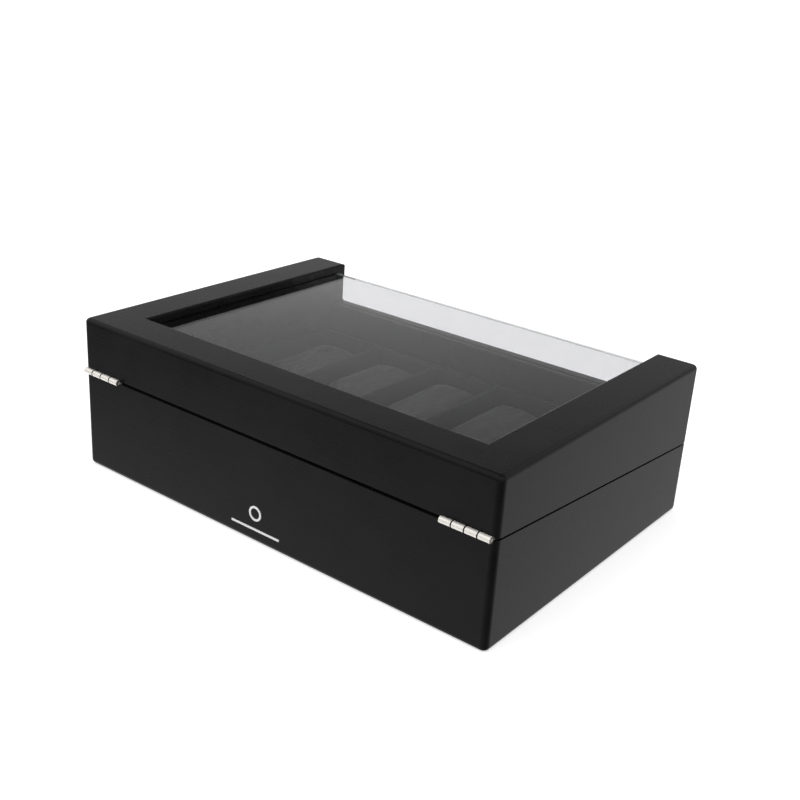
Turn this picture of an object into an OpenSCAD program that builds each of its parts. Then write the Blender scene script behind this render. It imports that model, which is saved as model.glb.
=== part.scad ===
// Watch box: a lined base for ten watches, and a glazed lid on two barrel hinges.
// The origin is the middle of the underside. X runs along the width, -Y is the front, +Z is up.

/* [Body] */
// Overall width, side to side
body_w = 330; // [310:5:360]
// Overall depth, front to back, without the hinge barrels
body_d = 230; // [220:5:250]
// Overall height with the lid closed
body_h = 105; // [102:1:115]
// Height of the joint between base and lid at the back
seam_back_h = 69; // [66:1:72]
// Height of the joint between base and lid at the front
seam_front_h = 49.5; // [46:0.5:56]
// Gap between base and lid with the lid closed
seam_gap = 1.2; // [0.8:0.1:1.4]
// Height of the shadow gap that opens the joint along the back edge
shadow_h = 2.1; // [1.6:0.1:2.6]
// Depth of the shadow gap
shadow_d = 1.2; // [0.6:0.1:1.5]
// Radius of the four upright corners
corner_r = 4; // [3.5:0.5:5]
// Radius of the long edges at the top and the bottom
edge_r = 3; // [1:0.5:3]

/* [Base] */
// Thickness of the wooden side walls
side_wall_t = 26; // [24:1:28]
// Thickness of the wooden back wall
back_wall_t = 26; // [24:1:28]
// Thickness of the wooden front wall
front_wall_t = 15; // [12:1:18]
// Thickness of the felt sheet under the base
felt_t = 1; // [0.5:0.5:2]
// Thickness of the bottom panel
bottom_t = 6; // [4:1:8]
// Thickness of the padded lining boards
lining_t = 2; // [1:0.5:3]
// Radius of the closing pads on the front corners
pad_r = 3.5; // [2:0.5:5]

/* [Lid] */
// Width of the side and back rails of the lid, seen from above
rail_w = 29; // [27:1:32]
// Thickness of the low front rail
front_rail_t = 15; // [12:1:18]
// Height of the front rail's top above the ground
front_rail_top = 73.5; // [68:0.5:78]
// Radius of the edges round the glazed opening
rim_r = 1.2; // [1:0.1:3]
// Radius of the lower corners of the front window
window_r = 3; // [1:0.5:5]

/* [Glass] */
// Thickness of both panes
glass_t = 3; // [2:0.5:4]
// Depth of the top pane below the rails
top_recess = 5.9; // [3:0.1:8]
// Distance of the front pane behind the front of the lid
front_setback = 8; // [6:0.5:9]
// Depth of the grooves that hold the panes
groove_d = 5; // [3:0.5:8]
// Play of a pane in its groove
groove_play = 0.2; // [0.1:0.1:0.5]

/* [Compartments] */
// Number of compartments across the width
columns = 5; // [5:1:5]
// Thickness of the fabric-covered dividers
divider_t = 4; // [3:0.5:5]
// Height of the dividers' top above the ground
divider_top = 53; // [50:1:54]
// Width of a cushion
cushion_w = 48; // [40:1:48]
// Length of a cushion, front to back
cushion_l = 80; // [70:1:84]
// Height of a cushion
cushion_h = 41; // [36:1:41]
// Radius of a cushion's edges
cushion_r = 9; // [5:1:12]

/* [Hinges] */
// Length of a hinge's barrel
hinge_len = 32.5; // [30:0.5:38]
// Distance from a barrel's outer end to the side of the box
hinge_inset = 2.5; // [0.5:0.5:5]
// Number of knuckles in a barrel
knuckles = 4; // [4:1:6]
// Gap between neighbouring knuckles
knuckle_gap = 0.9; // [0.3:0.1:1]
// Radius of the barrel
barrel_r = 2; // [1.5:0.1:2.5]
// Distance of the barrel's axis behind the back face
barrel_out = 1.2; // [0.8:0.1:1.5]
// Clearance round the barrel
barrel_play = 0.3; // [0.3:0.1:0.5]
// Radius of the hinge pin
pin_r = 1; // [0.6:0.05:1.1]
// Radial play of the pin in its knuckles
pin_play = 0.05; // [0.02:0.01:0.1]
// Thickness of a leaf
leaf_t = 1; // [0.8:0.1:1.2]
// Width of a leaf, measured from the barrel's axis
leaf_w = 11; // [9:0.5:14]
// Distance between the two screws of a leaf
screw_pitch = 20; // [15:1:24]
// Distance of the screws from the barrel's axis
screw_u = 6.8; // [6:0.1:8]
// Radius of a screw's shank
screw_r = 1.1; // [0.8:0.1:1.2]
// Radius of a screw's countersunk head
head_r = 2; // [1.8:0.1:2.4]
// Length of a screw
screw_len = 9; // [6:1:12]

/* [Emblem] */
// Place of the emblem along the width of the back
emblem_x = 6; // [-20:1:20]
// Outer radius of the emblem's ring
ring_r = 5; // [3:0.5:7]
// Width of the ring's band and of the bar
band_w = 1.4; // [0.8:0.1:2]
// Length of the bar under the ring
bar_len = 40; // [20:1:50]
// Height of the ring's centre above the ground
ring_z = 20; // [14:1:30]
// Height of the bar above the ground
bar_z = 9; // [6:1:12]
// Thickness of the emblem
emblem_t = 0.4; // [0.2:0.1:0.6]

/* [Hidden] */
$fn = 64;

paint = [0.16, 0.16, 0.17];
fabric = [0.11, 0.11, 0.12];
cushion_fabric = [0.15, 0.15, 0.16];
felt = [0.05, 0.05, 0.05];
nickel = [0.85, 0.84, 0.82];
clear = [0.8, 0.9, 0.9, 0.3];
white = [0.9, 0.9, 0.9];

// Length that reaches past the box in every direction
far = 500;
// Overshoot of a cut past the surface that it opens
over = 1;

half_w = body_w / 2;
half_d = body_d / 2;
seam_angle = atan((seam_back_h - seam_front_h) / body_d);

// Inside of the base, lining included
in_x = half_w - side_wall_t - lining_t;
in_front = -half_d + front_wall_t + lining_t;
in_back = half_d - back_wall_t - lining_t;
floor_z = felt_t + bottom_t + lining_t;

// Inside of the lid
lid_x = half_w - rail_w;
lid_back = half_d - rail_w;
glass_top = body_h - top_recess;
glass_bottom = glass_top - glass_t;
pane_front = -half_d + front_setback;
pane_back = pane_front + glass_t;

// Compartments
pitch = 2 * in_x / columns;
row_y = (in_front + in_back) / 2;
notch_z = (floor_z + divider_top) / 2;
slot_l = (in_back - in_front - divider_t) / 2;

// Hinges
axis_y = half_d + barrel_out;
axis_z = seam_back_h + barrel_out * tan(seam_angle);
hinge_x = half_w - hinge_inset - hinge_len / 2;
knuckle_len = (hinge_len - (knuckles - 1) * knuckle_gap) / knuckles;
scoop_r = barrel_r + barrel_play;
leaf_gap = seam_gap / 4;
head_t = head_r - screw_r;
pin_end = 1.2;
recess_w = 0.5;
recess_d = 0.5;

// ---- shared shapes ----

// Flat rectangle with rounded corners, centred
module rounded_rect(w, h, r) {
    square([w - 2 * r, h], center = true);
    square([w, h - 2 * r], center = true);
    for (x = [-1, 1], y = [-1, 1])
        translate([x * (w / 2 - r), y * (h / 2 - r)])
            circle(r);
}

// Block with every edge rounded
module rounded_block(w, d, h, r) {
    intersection() {
        linear_extrude(h)
            rounded_rect(w, d, r);
        rotate([90, 0, 0])
            linear_extrude(d + 2 * over, center = true)
                translate([0, h / 2])
                    rounded_rect(w, h, r);
        rotate([90, 0, 90])
            linear_extrude(w + 2 * over, center = true)
                translate([0, h / 2])
                    rounded_rect(d, h, r);
    }
}

// Closed box outside: two crossing bars with rounded long edges, and a post in each corner
module body_block() {
    rotate([90, 0, 0])
        linear_extrude(body_d - 2 * corner_r, center = true)
            translate([0, body_h / 2])
                rounded_rect(body_w, body_h, edge_r);
    rotate([90, 0, 90])
        linear_extrude(body_w - 2 * corner_r, center = true)
            translate([0, body_h / 2])
                rounded_rect(body_d, body_h, edge_r);
    for (x = [-1, 1], y = [-1, 1])
        translate([x * (half_w - corner_r), y * (half_d - corner_r), 0])
            corner_post();
}

module corner_post() {
    rotate_extrude()
        intersection() {
            translate([0, body_h / 2])
                rounded_rect(2 * corner_r, body_h, edge_r);
            square([corner_r, body_h]);
        }
}

// Axis-aligned block between two corners
module span(low, high) {
    translate(low)
        cube(high - low);
}

// Frame of the sloping joint: local XY is the joint's mid plane, through the hinge axis
module seam_frame() {
    translate([0, axis_y, axis_z])
        rotate([seam_angle, 0, 0])
            children();
}

module below_seam() {
    seam_frame()
        span([-far, -far, -far], [far, far, -seam_gap / 2]);
}

module above_seam() {
    seam_frame()
        span([-far, -far, seam_gap / 2], [far, far, far]);
}

// Shadow gap along the back edge
module shadow_gap() {
    translate([0, half_d, seam_back_h])
        cube([far, 2 * shadow_d, shadow_h], center = true);
}

// Puts its children, drawn for the +X hinge, at the right (side 1) or the left (side -1)
module at_hinge(side) {
    mirror([side < 0 ? 1 : 0, 0, 0])
        seam_frame()
            translate([hinge_x, 0, 0])
                children();
}

// ---- hinges ----

function knuckle_x(i) = hinge_len / 2 - knuckle_len - i * (knuckle_len + knuckle_gap);

// Screw drawn point down, with the top of its head at z = 0
module screw_body() {
    rotate_extrude()
        polygon([
            [0, 0], [head_r, 0], [screw_r, -head_t], [screw_r, -screw_len + screw_r],
            [0, -screw_len]
        ]);
}

module screw() {
    difference() {
        screw_body();
        for (a = [0, 90])
            rotate(a)
                cube([head_r * 1.3, recess_w, 2 * recess_d], center = true);
    }
}

// Puts its children at the two screws of a leaf, which faces +Z
module at_screws() {
    for (x = [-1, 1])
        translate([x * screw_pitch / 2, -screw_u, -leaf_gap])
            children();
}

// Leaf with every second knuckle, from knuckle first on, counted from the outer end
module leaf(first) {
    difference() {
        union() {
            translate([-hinge_len / 2, -leaf_w, -leaf_gap - leaf_t])
                cube([hinge_len, leaf_w - scoop_r, leaf_t]);
            for (i = [first:2:knuckles - 1])
                translate([knuckle_x(i), 0, 0]) {
                    rotate([0, 90, 0])
                        cylinder(r = barrel_r, h = knuckle_len);
                    translate([0, -scoop_r - over / 2, -leaf_gap - leaf_t])
                        cube([knuckle_len, scoop_r + over / 2, leaf_t]);
                }
        }
        rotate([0, 90, 0])
            cylinder(r = pin_r + pin_play, h = hinge_len + 2 * over, center = true);
        at_screws()
            screw_body();
    }
}

// Room for one hinge: the leaf's mortise, the screws and the hollow round the barrel
module hinge_room() {
    translate([-hinge_len / 2 - barrel_play, -leaf_w - barrel_play, -leaf_gap - leaf_t])
        cube([hinge_len + 2 * barrel_play, leaf_w + 2 * barrel_play, 2 * leaf_t]);
    rotate([0, 90, 0])
        cylinder(r = scoop_r, h = hinge_len + 2 * barrel_play, center = true);
    at_screws()
        screw_body();
}

// The lid's half of a hinge is the base's half turned over
module lid_side() {
    mirror([0, 0, 1])
        children();
}

module hinge_pin(side) {
    color(nickel)
        at_hinge(side)
            rotate([0, 90, 0])
                cylinder(r = pin_r, h = hinge_len - 2 * pin_end, center = true);
}

module base_hinge_leaf(side) {
    color(nickel)
        at_hinge(side)
            leaf(0);
}

module lid_hinge_leaf(side) {
    color(nickel)
        at_hinge(side)
            lid_side()
                leaf(1);
}

module base_leaf_screws() {
    color(nickel)
        for (side = [-1, 1])
            at_hinge(side)
                at_screws()
                    screw();
}

module lid_leaf_screws() {
    color(nickel)
        for (side = [-1, 1])
            at_hinge(side)
                lid_side()
                    at_screws()
                        screw();
}

// ---- base ----

module base_wall(low, high) {
    color(paint)
        difference() {
            intersection() {
                body_block();
                below_seam();
                span(low, high);
            }
            shadow_gap();
            for (side = [-1, 1])
                at_hinge(side)
                    hinge_room();
        }
}

module base_front_wall() {
    base_wall([-far, -far, -far], [far, -half_d + front_wall_t, far]);
}

module base_back_wall() {
    base_wall([-far, half_d - back_wall_t, -far], [far, far, far]);
}

module base_right_wall() {
    base_wall([half_w - side_wall_t, -half_d + front_wall_t, -far], [far, half_d - back_wall_t, far]);
}

module base_left_wall() {
    mirror([1, 0, 0])
        base_right_wall();
}

// Sheet that fills the base between its walls
module floor_sheet(z, t) {
    span(
        [-half_w + side_wall_t, -half_d + front_wall_t, z],
        [half_w - side_wall_t, half_d - back_wall_t, z + t]
    );
}

module base_felt_sheet() {
    color(felt)
        floor_sheet(0, felt_t);
}

module base_bottom_panel() {
    color(paint)
        floor_sheet(felt_t, bottom_t);
}

module floor_lining() {
    color(fabric)
        floor_sheet(felt_t + bottom_t, lining_t);
}

// Upright lining board, cut level with the rim of the base
module wall_lining(low, high) {
    color(fabric)
        intersection() {
            span([low[0], low[1], floor_z], [high[0], high[1], body_h]);
            below_seam();
        }
}

module front_lining() {
    wall_lining([-in_x - lining_t, in_front - lining_t], [in_x + lining_t, in_front]);
}

module back_lining() {
    wall_lining([-in_x - lining_t, in_back], [in_x + lining_t, in_back + lining_t]);
}

module right_lining() {
    wall_lining([in_x, in_front], [in_x + lining_t, in_back]);
}

module left_lining() {
    wall_lining([-in_x - lining_t, in_front], [-in_x, in_back]);
}

// The long divider has slots from below, and sits over the four short ones
module row_divider() {
    color(fabric)
        difference() {
            span([-in_x, row_y - divider_t / 2, floor_z], [in_x, row_y + divider_t / 2, divider_top]);
            for (i = [1:columns - 1])
                span(
                    [i * pitch - in_x - divider_t / 2, row_y - divider_t, floor_z - over],
                    [i * pitch - in_x + divider_t / 2, row_y + divider_t, notch_z]
                );
        }
}

module column_divider(i) {
    x = i * pitch - in_x;
    color(fabric)
        difference() {
            span([x - divider_t / 2, in_front, floor_z], [x + divider_t / 2, in_back, divider_top]);
            span(
                [x - divider_t, row_y - divider_t / 2, notch_z],
                [x + divider_t, row_y + divider_t / 2, divider_top + over]
            );
        }
}

// Pads that the lid closes on
module closing_pads() {
    color(felt)
        for (side = [-1, 1])
            seam_frame()
                translate([side * (half_w - front_wall_t), front_wall_t / 2 - body_d, -seam_gap / 2])
                    cylinder(r = pad_r, h = seam_gap / 2);
}

module back_emblem() {
    color(white)
        translate([emblem_x, half_d, 0])
            rotate([90, 0, 180])
                linear_extrude(emblem_t) {
                    translate([0, ring_z])
                        difference() {
                            circle(ring_r);
                            circle(ring_r - band_w);
                        }
                    translate([0, bar_z])
                        square([bar_len, band_w], center = true);
                }
}

// ---- lid ----

// Profile of an opening that ends at x = 0, with its top edge rounded over
module flared_edge() {
    translate([-far, -far])
        square([far, 2 * far]);
    difference() {
        translate([-over, body_h - rim_r])
            square([rim_r + over, rim_r + over]);
        translate([rim_r, body_h - rim_r])
            circle(rim_r);
    }
}

// Opening of the lid, from the front to the back rail
module lid_opening() {
    intersection() {
        rotate([90, 0, 0])
            linear_extrude(far, center = true)
                intersection() {
                    translate([lid_x, 0])
                        flared_edge();
                    translate([-lid_x, 0])
                        mirror([1, 0])
                            flared_edge();
                }
        rotate([90, 0, 90])
            linear_extrude(far, center = true)
                translate([lid_back, 0])
                    flared_edge();
    }
}

// Rounded front edge of a side rail, beside the window
module rail_nose() {
    translate([0, 0, front_rail_top])
        linear_extrude(far)
            difference() {
                translate([lid_x - over, -half_d - over])
                    square([rim_r + over, rim_r + over]);
                translate([lid_x + rim_r, -half_d + rim_r])
                    circle(rim_r);
            }
}

// Grooves for the two panes
module pane_grooves() {
    span(
        [-lid_x - groove_d, pane_front - groove_play / 2, glass_bottom],
        [lid_x + groove_d, lid_back + groove_d, glass_top + groove_play]
    );
    span(
        [-lid_x - groove_d, pane_front - groove_play / 2, front_rail_top - groove_d],
        [lid_x + groove_d, pane_back + groove_play / 2, glass_top]
    );
}

module lid_rail(low, high) {
    color(paint)
        difference() {
            intersection() {
                body_block();
                above_seam();
                span(low, high);
            }
            lid_opening();
            pane_grooves();
            shadow_gap();
            for (side = [-1, 1])
                at_hinge(side)
                    lid_side()
                        hinge_room();
        }
}

module lid_back_rail() {
    lid_rail([-far, lid_back, -far], [far, far, far]);
}

module lid_right_rail() {
    difference() {
        lid_rail([lid_x, -far, -far], [far, lid_back, far]);
        rail_nose();
    }
}

module lid_left_rail() {
    mirror([1, 0, 0])
        lid_right_rail();
}

// Hollow corner between the front rail and a side rail
module window_corner() {
    translate([lid_x - window_r, front_rail_top])
        difference() {
            square(window_r);
            translate([0, window_r])
                circle(window_r);
        }
}

module lid_front_rail() {
    rail_h = front_rail_top - seam_front_h;
    color(paint)
        difference() {
            intersection() {
                union() {
                    rotate([90, 0, 90])
                        linear_extrude(2 * lid_x, center = true)
                            translate([-half_d + front_rail_t / 2, front_rail_top - rail_h])
                                rounded_rect(front_rail_t, 2 * rail_h, rim_r);
                    for (side = [0, 1])
                        mirror([side, 0, 0])
                            translate([0, -half_d + front_rail_t - rim_r, 0])
                                rotate([90, 0, 0])
                                    linear_extrude(front_rail_t - 2 * rim_r)
                                        window_corner();
                }
                above_seam();
            }
            pane_grooves();
        }
}

module top_glass() {
    color(clear)
        span(
            [-lid_x - groove_d + groove_play, pane_front, glass_bottom],
            [lid_x + groove_d - groove_play, lid_back + groove_d - groove_play, glass_top]
        );
}

module front_glass() {
    color(clear)
        span(
            [-lid_x - groove_d + groove_play, pane_front, front_rail_top - groove_d + groove_play],
            [lid_x + groove_d - groove_play, pane_back, glass_bottom]
        );
}

// ---- cushions ----

// Middle of compartment i of 1 to 5 across the width
function slot_x(i) = (
    i == 1 ? -in_x + (pitch - divider_t / 2) / 2
    : i == columns ? in_x - (pitch - divider_t / 2) / 2
    : (i - 0.5) * pitch - in_x
);

// Middle of the front row (-1) or the back row (1)
function slot_y(row) = row_y + row * (divider_t + slot_l) / 2;

module cushion(row, i) {
    color(cushion_fabric)
        translate([slot_x(i), slot_y(row), floor_z])
            rounded_block(cushion_w, cushion_l, cushion_h, cushion_r);
}

base_front_wall();
base_back_wall();
base_left_wall();
base_right_wall();
base_bottom_panel();
base_felt_sheet();
floor_lining();
front_lining();
back_lining();
left_lining();
right_lining();
row_divider();
column_divider(1);  // column_divider_1
column_divider(2);  // column_divider_2
column_divider(3);  // column_divider_3
column_divider(4);  // column_divider_4
base_hinge_leaf(-1);  // base_hinge_leaf_left
base_hinge_leaf(1);  // base_hinge_leaf_right
hinge_pin(-1);  // hinge_pin_left
hinge_pin(1);  // hinge_pin_right
base_leaf_screws();
closing_pads();
back_emblem();
lid_left_rail();
lid_right_rail();
lid_back_rail();
lid_front_rail();
top_glass();
front_glass();
lid_hinge_leaf(-1);  // lid_hinge_leaf_left
lid_hinge_leaf(1);  // lid_hinge_leaf_right
lid_leaf_screws();
cushion(-1, 1);  // cushion_front_1
cushion(-1, 2);  // cushion_front_2
cushion(-1, 3);  // cushion_front_3
cushion(-1, 4);  // cushion_front_4
cushion(-1, 5);  // cushion_front_5
cushion(1, 1);  // cushion_back_1
cushion(1, 2);  // cushion_back_2
cushion(1, 3);  // cushion_back_3
cushion(1, 4);  // cushion_back_4
cushion(1, 5);  // cushion_back_5
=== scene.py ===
"""Looks of the watch box: painted wood, nickel, glass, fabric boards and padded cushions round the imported
frame."""

import math

import bmesh
import bpy
from mathutils import Matrix, Vector, noise
from mathutils.bvhtree import BVHTree


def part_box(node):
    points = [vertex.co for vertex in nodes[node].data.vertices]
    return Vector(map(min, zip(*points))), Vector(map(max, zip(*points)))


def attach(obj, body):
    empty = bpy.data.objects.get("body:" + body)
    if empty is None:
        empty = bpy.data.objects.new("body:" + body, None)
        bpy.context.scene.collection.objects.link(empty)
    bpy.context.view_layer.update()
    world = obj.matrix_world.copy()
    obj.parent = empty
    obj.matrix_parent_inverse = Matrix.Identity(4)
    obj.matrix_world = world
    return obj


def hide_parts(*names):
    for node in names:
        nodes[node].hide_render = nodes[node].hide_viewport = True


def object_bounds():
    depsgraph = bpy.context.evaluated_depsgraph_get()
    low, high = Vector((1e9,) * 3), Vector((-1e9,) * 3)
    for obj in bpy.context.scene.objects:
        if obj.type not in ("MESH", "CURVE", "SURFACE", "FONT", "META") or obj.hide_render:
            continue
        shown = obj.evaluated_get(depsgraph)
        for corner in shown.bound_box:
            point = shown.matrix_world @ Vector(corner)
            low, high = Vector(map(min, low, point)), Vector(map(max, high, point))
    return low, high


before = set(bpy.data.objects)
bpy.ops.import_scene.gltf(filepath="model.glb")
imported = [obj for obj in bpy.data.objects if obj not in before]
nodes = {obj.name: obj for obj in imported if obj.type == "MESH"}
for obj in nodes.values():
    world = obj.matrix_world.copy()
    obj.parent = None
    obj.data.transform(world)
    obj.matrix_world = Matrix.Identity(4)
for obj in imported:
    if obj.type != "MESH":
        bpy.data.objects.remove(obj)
cad_low, cad_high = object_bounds()

MM = 0.001
FULL_TURN = 2 * math.pi
UP = Vector((0, 0, 1))
scene = bpy.context.scene
collection = scene.collection


# ---- node materials ----


class Tree:
    """Short calls for building one node tree."""

    # Socket numbers of a Mix node, whose names repeat: factor, A, B and the result
    MIX_SOCKETS = {"FLOAT": (0, 2, 3, 0), "RGBA": (0, 6, 7, 2)}

    def __init__(self, owner):
        owner.use_nodes = True
        self.nodes, self.links = owner.node_tree.nodes, owner.node_tree.links
        self.nodes.clear()

    def add(self, kind, settings=None, **inputs):
        """New node. A socket's name is written here with _ for each space."""
        made = self.nodes.new(kind)
        for key, value in (settings or {}).items():
            setattr(made, key, value)
        for key, value in inputs.items():
            self.put(made, key.replace("_", " "), value)
        return made

    def put(self, made, socket, value):
        """Links value, if it is another node's socket, to this socket, or else sets it there."""
        target = made.inputs[socket]
        if isinstance(value, bpy.types.NodeSocket):
            self.links.new(value, target)
        else:
            target.default_value = value

    def math(self, operation, a, b=0.0):
        made = self.add("ShaderNodeMath", {"operation": operation})
        self.put(made, 0, a)
        self.put(made, 1, b)
        return made.outputs[0]

    def total(self, *parts):
        value = parts[0]
        for part in parts[1:]:
            value = self.math("ADD", value, part)
        return value

    def product(self, *parts):
        value = parts[0]
        for part in parts[1:]:
            value = self.math("MULTIPLY", value, part)
        return value

    def noise(self, where, scale, detail=2.0, roughness=0.5, distortion=0.0):
        made = self.add(
            "ShaderNodeTexNoise",
            Vector=where,
            Scale=scale,
            Detail=detail,
            Roughness=roughness,
            Distortion=distortion,
        )
        return made.outputs[0]

    def ramp(self, value, start, end, at_start, at_end, settings=None):
        """at_start where value is start, at_end where it is end, a ramp between them, and level past them."""
        made = self.add(
            "ShaderNodeMapRange",
            settings,
            Value=value,
            From_Min=start,
            From_Max=end,
            To_Min=at_start,
            To_Max=at_end,
        )
        return made.outputs[0]

    def mix(self, kind, factor, a, b):
        """kind is FLOAT for numbers and RGBA for colours."""
        made = self.add("ShaderNodeMix", {"data_type": kind})
        factor_socket, a_socket, b_socket, result = self.MIX_SOCKETS[kind]
        for socket, value in ((factor_socket, factor), (a_socket, a), (b_socket, b)):
            self.put(made, socket, value)
        return made.outputs[result]

    def mix_shader(self, factor, a, b):
        made = self.add("ShaderNodeMixShader")
        for socket, value in enumerate((factor, a.outputs[0], b.outputs[0])):
            self.put(made, socket, value)
        return made

    def stretched(self, where, x, y, z):
        made = self.add("ShaderNodeMapping", Vector=where, Scale=(x, y, z))
        return made.outputs[0]

    def bump(self, height, distance, strength=1.0, normal=None):
        """distance is the depth of the relief in metres."""
        made = self.add("ShaderNodeBump", Height=height, Distance=distance, Strength=strength)
        if normal is not None:
            self.put(made, "Normal", normal)
        return made.outputs[0]


class Material:
    """A principled shader with object coordinates, in metres, to build its patterns on."""

    def __init__(self, name):
        self.made = bpy.data.materials.new(name)
        self.tree = Tree(self.made)
        coordinates = self.tree.add("ShaderNodeTexCoord").outputs
        self.where, self.normal = coordinates["Object"], coordinates["Normal"]
        self.shader = self.tree.add("ShaderNodeBsdfPrincipled")
        self.out = self.tree.add("ShaderNodeOutputMaterial", Surface=self.shader.outputs[0])

    def set(self, **sockets):
        """Sets the shader's sockets. A name is written here with _ for each space."""
        for key, value in sockets.items():
            self.tree.put(self.shader, key.replace("_", " "), value)

    def facing(self, axis):
        """How far the surface faces along that axis of the object, either way, from 0 to 1."""
        parts = self.tree.add("ShaderNodeSeparateXYZ", Vector=self.normal)
        return self.tree.math("ABSOLUTE", parts.outputs[axis])


def middle_ramp(tree, value, at_low, at_high):
    """Ramp over the middle of a noise, where most of it lies."""
    return tree.ramp(value, 0.3, 0.7, at_low, at_high)


def tone_colour(tree, tone, dark, light):
    """Colour from dark to light over the narrow band that a sum of noises fills."""
    return tree.mix("RGBA", tree.ramp(tone, 0.35, 0.65, 0.0, 1.0), dark, light)


def painted_wood(name, grain):
    """Satin black paint over board. grain is the scale of the fibres along X, Y and Z, in 1/m."""
    material = Material(name)
    tree, where = material.tree, material.where
    fibres = tree.noise(tree.stretched(where, *grain), scale=1.0, detail=4.0, roughness=0.6, distortion=0.3)
    clouds = tree.noise(where, scale=38.0, detail=3.0, roughness=0.55)
    peel = tree.noise(where, scale=1500.0, detail=1.0, roughness=0.4)
    tone = tree.total(tree.product(fibres, 0.35), tree.product(clouds, 0.65))
    satin = tree.total(middle_ramp(tree, clouds, 0.26, 0.31), middle_ramp(tree, peel, -0.015, 0.015))
    relief = tree.bump(fibres, distance=0.06 * MM, strength=0.5)
    material.set(
        Base_Color=tone_colour(tree, tone, PAINT_DARK, PAINT_LIGHT),
        Roughness=satin,
        Normal=tree.bump(peel, distance=0.015 * MM, strength=0.6, normal=relief),
        Specular_IOR_Level=0.16,
    )
    return material.made


def darker(colour, factor):
    return tuple(factor * c for c in colour[:3]) + (1.0,)


def nickel_plate(name, dark, light, painted_shade_factor=1.0):
    """Brushed plating. The faces across X, such as the barrels' ends, have painted shade: their colour is
    made darker by a factor.
    """
    material = Material(name)
    tree, where = material.tree, material.where
    drawn = tree.noise(tree.stretched(where, 90.0, 4200.0, 4200.0), scale=1.0, detail=2.0, roughness=0.5)
    spots = tree.noise(where, scale=420.0, detail=3.0, roughness=0.6)
    # Painted shade: faces across X, such as the barrels' ends, take a darker copy of the plating colour
    end_face = tree.math("GREATER_THAN", material.facing("X"), 0.8)
    plain = tree.mix("RGBA", spots, dark, light)
    painted_shade_colour = tree.mix("RGBA", spots, darker(dark, painted_shade_factor), darker(light, painted_shade_factor))
    material.set(
        Base_Color=tree.mix("RGBA", end_face, plain, painted_shade_colour),
        Roughness=tree.total(middle_ramp(tree, spots, 0.32, 0.44), middle_ramp(tree, drawn, -0.03, 0.03)),
        Normal=tree.bump(drawn, distance=0.01 * MM, strength=0.5),
        Metallic=0.5,
    )
    return material.made


def float_glass(name, across, ior):
    """Clear pane, thin along the axis across, with ground edges. Light from lamps goes straight through."""
    material = Material(name)
    tree, where = material.tree, material.where
    waves = tree.noise(tree.stretched(where, 1.0, 0.35, 1.0), scale=22.0, detail=1.0, roughness=0.4)
    smears = tree.noise(where, scale=60.0, detail=4.0, roughness=0.6)
    material.set(
        Base_Color=tree.mix("RGBA", tree.ramp(smears, 0.4, 0.7, 0.0, 1.0), GLASS_CLEAN, GLASS_SMEARED),
        Normal=tree.bump(waves, distance=0.04 * MM, strength=0.35),
        Roughness=0.0,
        IOR=ior,
        Transmission_Weight=1.0,
    )
    edge = tree.math("LESS_THAN", material.facing(across), 0.5)
    grit = tree.noise(where, scale=3000.0, detail=2.0, roughness=0.6)
    frost = tree.mix("RGBA", grit, FROST_DARK, FROST_LIGHT)
    lit = tree.add("ShaderNodeBsdfDiffuse", Color=frost)
    passing = tree.add("ShaderNodeBsdfTransparent", Color=frost)
    pane = tree.mix_shader(edge, material.shader, tree.mix_shader(FROST_PASSES, lit, passing))
    clear = tree.add("ShaderNodeBsdfTransparent", Color=GLASS_SHADOW)
    lamp = tree.add("ShaderNodeLightPath").outputs["Is Shadow Ray"]
    tree.put(material.out, "Surface", tree.mix_shader(lamp, pane, clear).outputs[0])
    return material.made


def woven(name, dark, light, thread, nap, sheen, crease=0.0, smooth=0.0):
    """Cloth in plain weave. thread is the thread's size and crease the depth of its creases, in metres, nap
    is the scale of the nap's patches in 1/m, and smooth is taken off the roughness."""
    material = Material(name)
    tree, where = material.tree, material.where
    x, y, z = tree.add("ShaderNodeSeparateXYZ", Vector=where).outputs
    turn = FULL_TURN / (2 * thread)
    across = tree.math("SINE", tree.product(tree.total(x, z), turn))
    along = tree.math("SINE", tree.product(tree.math("SUBTRACT", y, z), turn))
    fuzz = tree.noise(where, scale=2600.0, detail=2.0, roughness=0.6)
    patches = tree.noise(where, scale=nap, detail=3.0, roughness=0.6, distortion=0.4)
    tone = tree.total(tree.product(patches, 0.7), tree.product(fuzz, 0.3))
    weave = tree.total(tree.product(across, along, 0.4), fuzz)
    stretched = tree.stretched(where, 34.0, 12.0, 34.0)
    folds = tree.noise(stretched, scale=1.0, detail=2.0, roughness=0.45, distortion=1.2)
    relief = tree.bump(folds, distance=crease)
    material.set(
        Base_Color=tone_colour(tree, tone, dark, light),
        Roughness=middle_ramp(tree, patches, 0.78 - smooth, 0.92 - smooth),
        Normal=tree.bump(weave, distance=thread * 0.35, strength=0.4, normal=relief),
        Sheen_Weight=sheen,
        Sheen_Roughness=0.45,
        Sheen_Tint=(0.75, 0.75, 0.78, 1.0),
    )
    return material.made


def felt_cloth(name):
    material = Material(name)
    tree, where = material.tree, material.where
    hairs = tree.noise(where, scale=1700.0, detail=5.0, roughness=0.75, distortion=1.2)
    clumps = tree.noise(where, scale=160.0, detail=3.0, roughness=0.6)
    tone = tree.total(tree.product(hairs, 0.6), tree.product(clumps, 0.4))
    material.set(
        Base_Color=tone_colour(tree, tone, (0.008, 0.008, 0.009, 1.0), (0.026, 0.026, 0.028, 1.0)),
        Roughness=middle_ramp(tree, hairs, 0.85, 0.98),
        Normal=tree.bump(tone, distance=0.3 * MM, strength=0.9),
        Sheen_Weight=0.5,
        Sheen_Roughness=0.6,
    )
    return material.made


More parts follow.
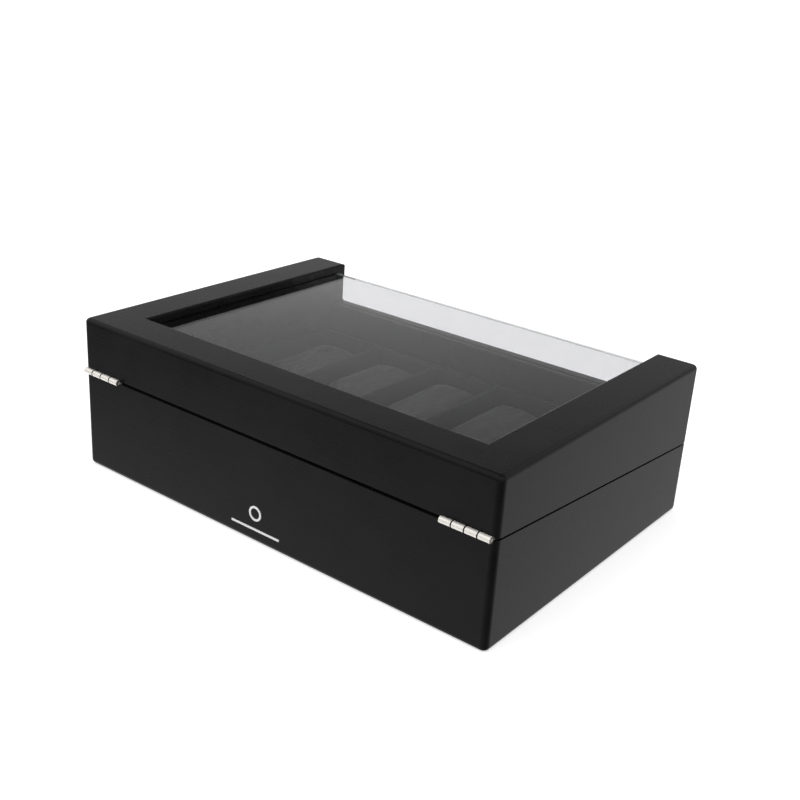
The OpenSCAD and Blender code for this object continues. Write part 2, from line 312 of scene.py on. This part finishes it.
def enamel(name):
    material = Material(name)
    tree = material.tree
    grain = tree.noise(material.where, scale=900.0, detail=3.0, roughness=0.6)
    material.set(
        Base_Color=tree.mix("RGBA", grain, (0.62, 0.62, 0.62, 1.0), (0.82, 0.82, 0.82, 1.0)),
        Roughness=middle_ramp(tree, grain, 0.35, 0.5),
        Normal=tree.bump(grain, distance=0.02 * MM, strength=0.6),
    )
    return material.made


def pale_floor(name, glow):
    material = Material(name)
    tree = material.tree
    clouds = tree.noise(material.where, scale=3.0, detail=3.0, roughness=0.6)
    material.set(
        Base_Color=tree.mix("RGBA", clouds, (0.80, 0.80, 0.80, 1.0), (0.84, 0.84, 0.84, 1.0)),
        Roughness=middle_ramp(tree, clouds, 0.8, 0.9),
        Emission_Color=WHITE,
        Emission_Strength=glow,
    )
    return material.made


WHITE = (1.0, 1.0, 1.0, 1.0)
PAINT_DARK = (0.0040, 0.0040, 0.0043, 1.0)
PAINT_LIGHT = (0.0065, 0.0065, 0.0070, 1.0)
GRAIN_X = (35.0, 1100.0, 1100.0)
GRAIN_Y = (1100.0, 35.0, 1100.0)
GLASS_CLEAN = (0.868, 0.868, 0.880, 1.0)
GLASS_SMEARED = (0.852, 0.853, 0.864, 1.0)
GLASS_SHADOW = (0.88, 0.9, 0.89, 1.0)
FROST_DARK = (0.90, 0.91, 0.91, 1.0)
FROST_LIGHT = (0.97, 0.98, 0.98, 1.0)
FROST_PASSES = 0.85  # share of the light that a ground edge lets through

paint_x = painted_wood("painted_wood_x", GRAIN_X)
paint_y = painted_wood("painted_wood_y", GRAIN_Y)
# The nickel's faces across X are painted darker, as shade, by the last factor
nickel = nickel_plate("nickel", dark=(0.93, 0.885, 0.83, 1.0), light=(1.0, 0.965, 0.92, 1.0), painted_shade_factor=0.12)
# The pins' colour is partly dark steel and partly painted shade, which darkens the gaps between the hinge
# knuckles
pin_steel_and_gap_shade = nickel_plate("pin_steel_and_gap_shade", dark=(0.10, 0.095, 0.09, 1.0), light=(0.16, 0.15, 0.14, 1.0))
glass_top = float_glass("glass_top", across="Z", ior=1.5)
glass_front = float_glass("glass_front", across="Y", ior=1.38)
lining = woven(
    "lining_fabric",
    dark=(0.003, 0.003, 0.0034, 1.0),
    light=(0.008, 0.008, 0.009, 1.0),
    thread=0.45 * MM,
    nap=70.0,
    sheen=0.08,
    crease=2 * MM,
)
cushion_cloth = woven(
    "cushion_fabric",
    dark=(0.012, 0.012, 0.0125, 1.0),
    light=(0.024, 0.024, 0.025, 1.0),
    thread=0.6 * MM,
    nap=90.0,
    sheen=0.2,
    crease=11 * MM,
    smooth=0.36,
)
thread = woven(
    "seam_thread",
    dark=(0.008, 0.008, 0.009, 1.0),
    light=(0.020, 0.020, 0.021, 1.0),
    thread=0.3 * MM,
    nap=300.0,
    sheen=0.1,
)
felt = felt_cloth("felt")
white = enamel("emblem")


def material_of(node):
    """Material of a CAD node that stays in view, or None for one that a piece below replaces."""
    if node in ("base_left_wall", "base_right_wall", "lid_left_rail", "lid_right_rail"):
        return paint_y
    if node.endswith(("_wall", "_rail", "_panel")):
        return paint_x
    if "leaf" in node:
        return nickel
    if "pin" in node:
        return pin_steel_and_gap_shade
    return {"top_glass": glass_top, "front_glass": glass_front, "back_emblem": white}.get(node)


for node in nodes:
    if material_of(node):
        nodes[node].data.materials.clear()
        nodes[node].data.materials.append(material_of(node))


# ---- meshes ----

ROUND_STEPS = 3  # mesh lines in each rounded edge


def stops(low, high, radius, step):
    """Mesh lines across one side of a rounded box: close together in the rounding, then one every step."""
    count = max(1, round((high - low - 2 * radius) / step))
    rounding = [radius * (1 - math.cos(math.pi / 2 * i / ROUND_STEPS)) for i in range(ROUND_STEPS)]
    inner = [low + radius + (high - low - 2 * radius) * i / count for i in range(count + 1)]
    return [low + r for r in rounding] + inner + [high - r for r in reversed(rounding)]


def add_rounded_box(bm, low, high, radius, step):
    """Closed box with rounded edges, as quads."""
    lines = [stops(low[a], high[a], radius, step) for a in range(3)]
    made = {}

    def corner(key):
        if key not in made:
            p = Vector(lines[a][key[a]] for a in range(3))
            core = Vector(min(max(p[a], low[a] + radius), high[a] - radius) for a in range(3))
            out = p - core
            made[key] = bm.verts.new(core + out.normalized() * radius)
        return made[key]

    for axis in range(3):
        u, v = (axis + 1) % 3, (axis + 2) % 3
        for side in (0, len(lines[axis]) - 1):
            for i in range(len(lines[u]) - 1):
                for j in range(len(lines[v]) - 1):
                    ring = []
                    for a, b in ((0, 0), (1, 0), (1, 1), (0, 1)):
                        key = [0, 0, 0]
                        key[axis], key[u], key[v] = side, i + a, j + b
                        ring.append(corner(tuple(key)))
                    bm.faces.new(ring if side else reversed(ring))


def circle(radius, index, count):
    """Across and up parts of point index of count on a circle."""
    turn = FULL_TURN * index / count
    return radius * math.cos(turn), radius * math.sin(turn)


def mesh_data(name, bm, made):
    """Turns a bmesh into smooth mesh data with that material."""
    bm.normal_update()
    data = bpy.data.meshes.new(name)
    bm.to_mesh(data)
    bm.free()
    data.materials.append(made)
    data.shade_smooth()
    return data


def linked(name, data):
    piece = bpy.data.objects.new(name, data)
    collection.objects.link(piece)
    return piece


def push(bm, amount):
    """Moves each vertex along its normal by amount(place, normal), in metres."""
    bm.normal_update()
    moves = [(v, v.co + v.normal * amount(v.co, v.normal)) for v in bm.verts]
    for v, place in moves:
        v.co = place


# ---- fabric boards of the base ----

BOARD_GAP = 0.1 * MM  # from the cloth's highest folds to the CAD board's outside
LARGEST_ROUND = 0.48  # edge radius, as a share of a board's thickness
BOARD_WAVES = 45.0  # scales in 1/m, of the cloth's wide waves and of its folds
BOARD_FOLDS = 120.0
BOARD_FOLDS_UP = 50.0

rim_front, rim_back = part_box("front_lining")[1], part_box("back_lining")[1]
slope = (rim_back.z - rim_front.z) / (rim_back.y - rim_front.y)


def rim_height(y):
    """Height of the base's sloping rim."""
    return rim_front.z + slope * (y - rim_front.y)


def soft_board(name, spans, radius, step, swell, seed, slanted=False):
    """Fabric stretched over boards, level on top or slanted like the rim. swell is how far the cloth stands
    up, in metres, and seed picks its folds."""
    inset = swell + BOARD_GAP
    bm = bmesh.new()
    for low, high in spans:
        low, high = low + Vector((inset,) * 3), high - Vector((inset,) * 3)
        add_rounded_box(bm, low, high, min(radius, min(high - low) * LARGEST_ROUND), step)
        if slanted:
            for v in bm.verts:
                v.co.z = low.z + (v.co.z - low.z) * (rim_height(v.co.y) - inset - low.z) / (high.z - low.z)

    def cloth(p, _):
        wide = noise.noise(p * BOARD_WAVES + Vector((seed, 0, 0)))
        folds = noise.noise(Vector((p.x * BOARD_FOLDS, p.y * BOARD_FOLDS, p.z * BOARD_FOLDS_UP + seed)))
        return swell * (0.55 + 0.3 * wide + 0.45 * folds)

    push(bm, cloth)
    return linked(name, mesh_data(name, bm, lining))


LINING_CLOTH = {"radius": 0.9 * MM, "step": 4 * MM, "swell": 0.15 * MM}
for number, node in enumerate(("floor_lining", "front_lining", "back_lining", "left_lining", "right_lining")):
    slanted = node != "floor_lining"
    piece = soft_board(node + "_cloth", [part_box(node)], seed=10.0 * number, slanted=slanted, **LINING_CLOTH)
    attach(piece, "base")
    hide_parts(node)

DIVIDER_CLOTH = {"radius": 1.9 * MM, "step": 3 * MM, "swell": 0.3 * MM}
column_nodes = ["column_divider_%d" % i for i in range(1, 5)]
for number, node in enumerate(column_nodes):
    piece = soft_board(node + "_cloth", [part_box(node)], seed=60.0 + 10.0 * number, **DIVIDER_CLOTH)
    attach(piece, "base")
    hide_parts(node)

# The long divider, in lengths between the short ones that cross it
low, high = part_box("row_divider")
cuts = [low.x] + [x for node in column_nodes for x in (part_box(node)[0].x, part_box(node)[1].x)] + [high.x]
lengths = [
    (Vector((cuts[i], low.y, low.z)), Vector((cuts[i + 1], high.y, high.z)))
    for i in range(0, len(cuts), 2)
]
piece = soft_board("row_divider_cloth", lengths, seed=120.0, **DIVIDER_CLOTH)
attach(piece, "base")
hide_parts("row_divider")


# ---- felt ----

FELT_GAP = 0.1 * MM
FELT_RADIUS = 0.35 * MM
FELT_STEP = 5 * MM
FELT_BUMPS = 260.0  # scale in 1/m
FELT_RELIEF = 0.08 * MM

low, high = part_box("base_felt_sheet")
bm = bmesh.new()
gap = Vector((FELT_GAP,) * 3)
add_rounded_box(bm, low + gap, high - gap, FELT_RADIUS, FELT_STEP)
push(bm, lambda p, _: FELT_RELIEF * noise.noise(p * FELT_BUMPS))
piece = linked("base_felt_cloth", mesh_data("base_felt_cloth", bm, felt))
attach(piece, "base")
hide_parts("base_felt_sheet")

# Felt discs that the lid closes on, domed on top. PROFILE is their radius and height, as shares of the whole.
PROFILE = [(0.0, 0.0), (0.72, 0.0), (0.985, 0.1), (0.985, 0.55), (0.9, 0.9), (0.6, 0.99), (0.0, 1.0)]
SIDES = 40

low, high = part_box("closing_pads")
pad_t = high.z - low.z - slope * (high.y - low.y)
pad_r = (high.y - low.y) / 2
bm = bmesh.new()
for side in (-1, 1):
    middle = Vector((side * (high.x - pad_r), (low.y + high.y) / 2, (low.z + high.z) / 2))
    place = Matrix.Translation(middle) @ Matrix.Rotation(math.atan(slope), 4, "X")
    rows = []
    for r, h in PROFILE:
        local = [
            Vector((*circle(r * pad_r, i, SIDES), (h - 0.5) * pad_t))
            for i in range(SIDES if r else 1)
        ]
        rows.append([bm.verts.new(place @ p) for p in local])
    for a, b in zip(rows, rows[1:]):
        for i in range(SIDES):
            j = (i + 1) % SIDES
            if len(a) == 1:
                bm.faces.new((a[0], b[j], b[i]))
            elif len(b) == 1:
                bm.faces.new((a[i], a[j], b[0]))
            else:
                bm.faces.new((a[i], a[j], b[j], b[i]))
piece = linked("closing_pads_felt", mesh_data("closing_pads_felt", bm, felt))
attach(piece, "base")
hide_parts("closing_pads")


# ---- cushions ----

VOXEL = 2.8 * MM
FRAMES = 20
PRESSURE = 4.0
SIM_CAP = 2.6 * MM
SWELL_ROOM = SIM_CAP * 0.75  # left free round the block that swells
ROOM_BELOW = SWELL_ROOM * 0.2  # less of it under the block, which rests on the floor
BLOCK_RADIUS = 14 * MM
BLOCK_STEP = 3 * MM
FLOOR_GAP = 0.15 * MM
SEAM_IN = 4.5 * MM  # from a cushion's side to its seam
GROOVE_DEPTH = 0.9 * MM
GROOVE_WIDTH = 1.3 * MM
PUCKERS = 34  # round the seam
PUCKER_HEIGHT = 0.28 * MM
PUCKER_REACH = 4.5 * MM
PUCKER_WANDER = 60.0  # scale in 1/m
LOOSE_HEIGHT = 0.55 * MM  # of the folds of the loose cover
LOOSE_ACROSS = 55.0  # scales in 1/m, across the cushion and along it
LOOSE_ALONG = 38.0
DIP_HEIGHT = 0.5 * MM  # of the uneven filling
DIP_SCALE = 24.0  # in 1/m
CORD_RADIUS = 0.55 * MM
CORD_OUT = 0.28 * MM
CORD_POINTS = 150
CORD_SIDES = 8
STITCH_RADIUS = 0.17 * MM
STITCH_IN = 2.0 * MM  # from the seam to the stitches beside it
STITCH_SUNK = 0.1 * MM  # depth of a stitch's ends below the cloth
STITCH_ARCH = 0.11 * MM
STITCH_POINTS = 192
STITCH_SIDES = 6
STITCH_PITCH = 3  # points from one stitch to the next
STITCH_LENGTH = 2
OUTSIDE = 0.2  # far outside a cushion, where the rays to its seams start


def swollen(data, cap):
    """The mesh blown up a little as foam under a cover, by a short cloth simulation. No point moves further
    than cap."""
    block = linked("cushion_block", data)
    remesh = block.modifiers.new("remesh", "REMESH")
    remesh.mode = "VOXEL"
    remesh.voxel_size = VOXEL
    start = bpy.data.meshes.new_from_object(block.evaluated_get(bpy.context.evaluated_depsgraph_get()))
    block.modifiers.remove(remesh)
    block.data = start
    cloth = block.modifiers.new("cloth", "CLOTH")
    cloth.settings.use_pressure = True
    cloth.settings.uniform_pressure_force = PRESSURE
    cloth.settings.effector_weights.gravity = 0
    cloth.point_cache.frame_start = 1
    cloth.point_cache.frame_end = FRAMES
    for step in range(1, FRAMES + 1):
        scene.frame_set(step)
    depsgraph = bpy.context.evaluated_depsgraph_get()
    moved = bpy.data.meshes.new_from_object(block.evaluated_get(depsgraph))
    for rest, point in zip(start.vertices, moved.vertices):
        way = point.co - rest.co
        if way.length > cap:
            point.co = rest.co + way.normalized() * cap
    block.modifiers.remove(cloth)
    scene.frame_set(1)
    block.data = moved
    fine = block.modifiers.new("fine", "SUBSURF")
    fine.levels = 1
    made = bpy.data.meshes.new_from_object(block.evaluated_get(bpy.context.evaluated_depsgraph_get()))
    bpy.data.objects.remove(block)
    return made


def seam_loop(surface, x, half_height, count):
    """Points round the cushion's surface in the plane at x, with the way out at each."""
    loop = []
    for i in range(count):
        way = Vector((0, *circle(1.0, i, count)))
        place, normal, _, _ = surface.ray_cast(Vector((x, 0, half_height)) + way * OUTSIDE, -way)
        loop.append((place, normal))
    return loop


def add_tube(bm, points, radius, sides, closed):
    """Tube of quads along points, with flat ends unless it is a loop."""
    count = len(points)
    rings = []
    for i, p in enumerate(points):
        before = points[(i - 1) % count] if closed or i else p
        after = points[(i + 1) % count] if closed or i + 1 < count else p
        along = (after - before).normalized()
        side = along.cross(Vector((1, 0, 0))).normalized()
        up = along.cross(side)
        offsets = [circle(radius, k, sides) for k in range(sides)]
        rings.append([bm.verts.new(p + side * across + up * rise) for across, rise in offsets])
    for i in range(count if closed else count - 1):
        a, b = rings[i], rings[(i + 1) % count]
        for k in range(sides):
            j = (k + 1) % sides
            bm.faces.new((a[k], a[j], b[j], b[k]))
    if not closed:
        bm.faces.new(reversed(rings[0]))
        bm.faces.new(rings[-1])


def cushion_shape(width, length, height, seed):
    """Cushion mesh and its seams' mesh, both standing on z = 0 round the middle. seed picks the folds."""
    bm = bmesh.new()
    low = Vector((-width / 2 + SWELL_ROOM, -length / 2 + SWELL_ROOM, ROOM_BELOW))
    high = Vector((width / 2 - SWELL_ROOM, length / 2 - SWELL_ROOM, height - SWELL_ROOM))
    add_rounded_box(bm, low, high, BLOCK_RADIUS, BLOCK_STEP)
    block = bpy.data.meshes.new("block")
    bm.to_mesh(block)
    bm.free()
    soft = swollen(block, SIM_CAP)
    bm = bmesh.new()
    bm.from_mesh(soft)
    seam_x = width / 2 - SEAM_IN

    def cover(p, normal):
        gap = abs(abs(p.x) - seam_x)
        groove = -GROOVE_DEPTH * math.exp(-((gap / GROOVE_WIDTH) ** 2))
        round_turn = math.atan2(p.z - height / 2, p.y)
        wander = 3 * noise.noise(p * PUCKER_WANDER + Vector((seed, 0, 0)))
        ripple = math.sin(round_turn * PUCKERS + wander)
        pucker = PUCKER_HEIGHT * ripple * math.exp(-gap / PUCKER_REACH)
        folds = Vector((p.x * LOOSE_ACROSS, p.y * LOOSE_ALONG, p.z * LOOSE_ACROSS + seed))
        loose = LOOSE_HEIGHT * noise.noise(folds)
        dips = DIP_HEIGHT * noise.noise(p * DIP_SCALE + Vector((0, seed, 0)))
        off_the_floor = 1.0 - min(1.0, max(0.0, -normal.z))
        return groove + (pucker + loose + dips) * off_the_floor

    push(bm, cover)
    for v in bm.verts:
        v.co.z = max(v.co.z, FLOOR_GAP)
    surface = BVHTree.FromBMesh(bm)
    seams = bmesh.new()
    for side in (-1, 1):
        cord = seam_loop(surface, side * seam_x, height / 2, CORD_POINTS)
        add_tube(seams, [p + n * CORD_OUT for p, n in cord], CORD_RADIUS, CORD_SIDES, closed=True)
        line = seam_loop(surface, side * (seam_x - STITCH_IN), height / 2, STITCH_POINTS)
        for i in range(0, STITCH_POINTS, STITCH_PITCH):
            (a, na), (b, nb) = line[i], line[(i + STITCH_LENGTH) % STITCH_POINTS]
            middle = (a + b) / 2 + (na + nb) * STITCH_ARCH
            ends = (a - na * STITCH_SUNK, b - nb * STITCH_SUNK)
            add_tube(seams, [ends[0], middle, ends[1]], STITCH_RADIUS, STITCH_SIDES, closed=False)
    return bm, seams


VARIANTS = 3  # cushions that are folded differently
first_low, first_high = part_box("cushion_front_1")
size = first_high - first_low
shapes = []
for variant in range(VARIANTS):
    cover_bm, seam_bm = cushion_shape(size.x, size.y, size.z, seed=7.3 + 19.1 * variant)
    cover_mesh = mesh_data("cushion_cover_%d" % variant, cover_bm, cushion_cloth)
    seam_mesh = mesh_data("cushion_seam_%d" % variant, seam_bm, thread)
    shapes.append((cover_mesh, seam_mesh))

cushions = [node for node in nodes if node.startswith("cushion_")]
for number, node in enumerate(sorted(cushions)):
    low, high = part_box(node)
    cover_mesh, seam_mesh = shapes[number % VARIANTS]
    turned = Matrix.Rotation(math.pi * ((number // 2) % 2), 4, "Z")
    place = Matrix.Translation(((low.x + high.x) / 2, (low.y + high.y) / 2, low.z)) @ turned
    cover = linked(node + "_cover", cover_mesh.copy())
    seam = linked(node + "_seam", seam_mesh.copy())
    for piece in (cover, seam):
        piece.data.transform(place)
        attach(piece, node)
    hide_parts(node)


# ---- floor, light and camera ----

FLOOR_SIZE = 60.0
FLOOR_DROP = 0.2 * MM
FLOOR_GLOW = 0.55

bpy.ops.mesh.primitive_plane_add(size=FLOOR_SIZE, location=(0, 0, cad_low.z - FLOOR_DROP))
floor = bpy.context.object
floor.name = "floor"
floor.data.materials.append(pale_floor("pale_floor", FLOOR_GLOW))
floor.visible_glossy = False

# Light of the sky by direction: each fade is a soft edge of a panel, in X, Y or Z of the way to it
world = bpy.data.worlds.new("studio")
scene.world = world
sky = Tree(world)
way = sky.add("ShaderNodeTexCoord").outputs["Generated"]
sky_x, sky_y, sky_z = sky.add("ShaderNodeSeparateXYZ", Vector=way).outputs


def fade(value, start, end, level):
    """level where value is past end, nothing before start, and a smooth step between them."""
    return sky.ramp(value, start, end, 0.0, level, {"interpolation_type": "SMOOTHSTEP"})


# Facing the window: white up to the horizon, and greyer and greyer above it
front_side = fade(sky_y, 0.15, -0.65, 1.0)
window_light = sky.product(
    sky.total(fade(sky_z, 0.51, 0.30, 0.39), fade(sky_z, 0.34, 0.24, 0.25), fade(sky_z, 0.22, 0.12, 0.30)),
    sky.total(fade(sky_x, 0.35, 0.58, 0.25), 0.75),
)
# Two high panels there, which light the rounded edges of the lid
right_panel = sky.product(
    fade(sky_z, 0.30, 0.48, 0.90), fade(sky_z, 0.85, 0.45, 1.0), fade(sky_x, 0.50, 0.0, 1.0)
)
left_panel = sky.product(fade(sky_z, 0.45, 0.60, 0.40), fade(sky_x, 0.60, 0.75, 1.0))
front_light = sky.product(sky.total(window_light, right_panel, left_panel), front_side)

# Facing the hinges: a soft box from halfway up to overhead, the pale room behind it, and the table below
back_side = sky.math("SUBTRACT", 1.0, front_side)
soft_box = fade(sky_z, 0.30, 0.65, 0.42)
room = fade(sky_z, -0.20, 0.10, 0.50)
table = sky.product(
    fade(sky_z, -0.28, -0.52, 1.0), sky.total(fade(sky_x, -0.6, -0.1, 0.35), fade(sky_x, 0.0, 0.75, 0.65))
)
back_light = sky.product(sky.total(soft_box, room, table), back_side)

# Straight above it is dim, so that the top pane shows the cushions from there
below_zenith = fade(sky_z, 0.97, 0.86, 0.85)
panels = sky.product(sky.total(front_light, back_light), sky.total(below_zenith, 0.15))

# The camera sees plain white behind the box, and everything else is lit by the panels
DIM_REST = 0.03
seen = sky.add("ShaderNodeLightPath").outputs["Is Camera Ray"]
strength = sky.mix("FLOAT", seen, sky.total(panels, DIM_REST), 1.0)
background = sky.add("ShaderNodeBackground", Strength=strength, Color=WHITE)
sky.add("ShaderNodeOutputWorld", Surface=background.outputs[0])

SUN_ENERGY = 1.25
SUN_ANGLE = math.radians(80)
SUN_TILT = (math.radians(-12), math.radians(8), 0)

sun_data = bpy.data.lights.new("overhead", "SUN")
sun_data.energy = SUN_ENERGY
sun_data.angle = SUN_ANGLE
sun = linked("overhead", sun_data)
sun.rotation_euler = SUN_TILT
sun.visible_glossy = False

# The camera stands where the photograph was taken from
EYE = Vector((-0.42823, 0.5581, 0.35675))
AIM = Vector((-0.0120, 0.0, 0.0669))
ROLL = math.radians(-3.74)
SENSOR_WIDTH = 36.0
LENS = 51.64

camera_data = bpy.data.cameras.new("camera")
camera_data.sensor_width = SENSOR_WIDTH
camera_data.lens = LENS
camera_data.clip_end = 200.0
camera = linked("camera", camera_data)
look = (AIM - EYE).normalized()
right = Matrix.Rotation(ROLL, 3, look) @ look.cross(UP).normalized()
up = right.cross(look)
camera.matrix_world = Matrix.Translation(EYE) @ Matrix((right, up, -look)).transposed().to_4x4()
scene.camera = camera
scene.view_settings.view_transform = "Standard"
